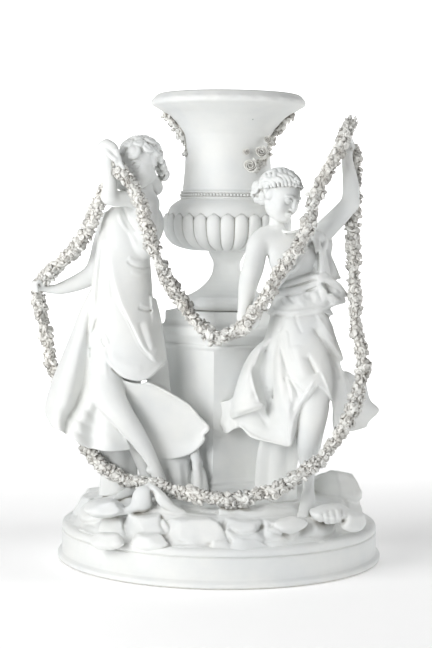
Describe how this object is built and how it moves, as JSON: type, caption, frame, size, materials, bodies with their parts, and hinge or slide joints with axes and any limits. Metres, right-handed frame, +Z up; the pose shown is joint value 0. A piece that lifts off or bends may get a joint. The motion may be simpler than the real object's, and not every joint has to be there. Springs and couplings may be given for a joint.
{
  "type": "bisque figural centrepiece",
  "caption": "White bisque porcelain centrepiece: draped dancers carry flower garlands round a hexagonal pedestal with a gadrooned urn, on a round rocky base.",
  "frame": {"origin": "middle of the round base's flat underside", "axes": "+Z up along the base's axis; the front, where both dancers' garlands hang in view, faces -Y; +X is to the viewer's right"},
  "size_m": [0.2892, 0.27, 0.384],
  "materials": {
    "bisque": "matte unglazed",
    "flowers": "matte unglazed, dust in the crevices"
  },
  "bodies": {
    "root": {"base": "bisque", "pedestal": "bisque", "vase": "bisque", "dancer_left": "bisque", "dancer_right": "bisque", "garland_swag": "flowers", "garland_raised": "flowers", "garland_outer": "flowers", "garland_side": "flowers"}
  },
  "joints": []
}
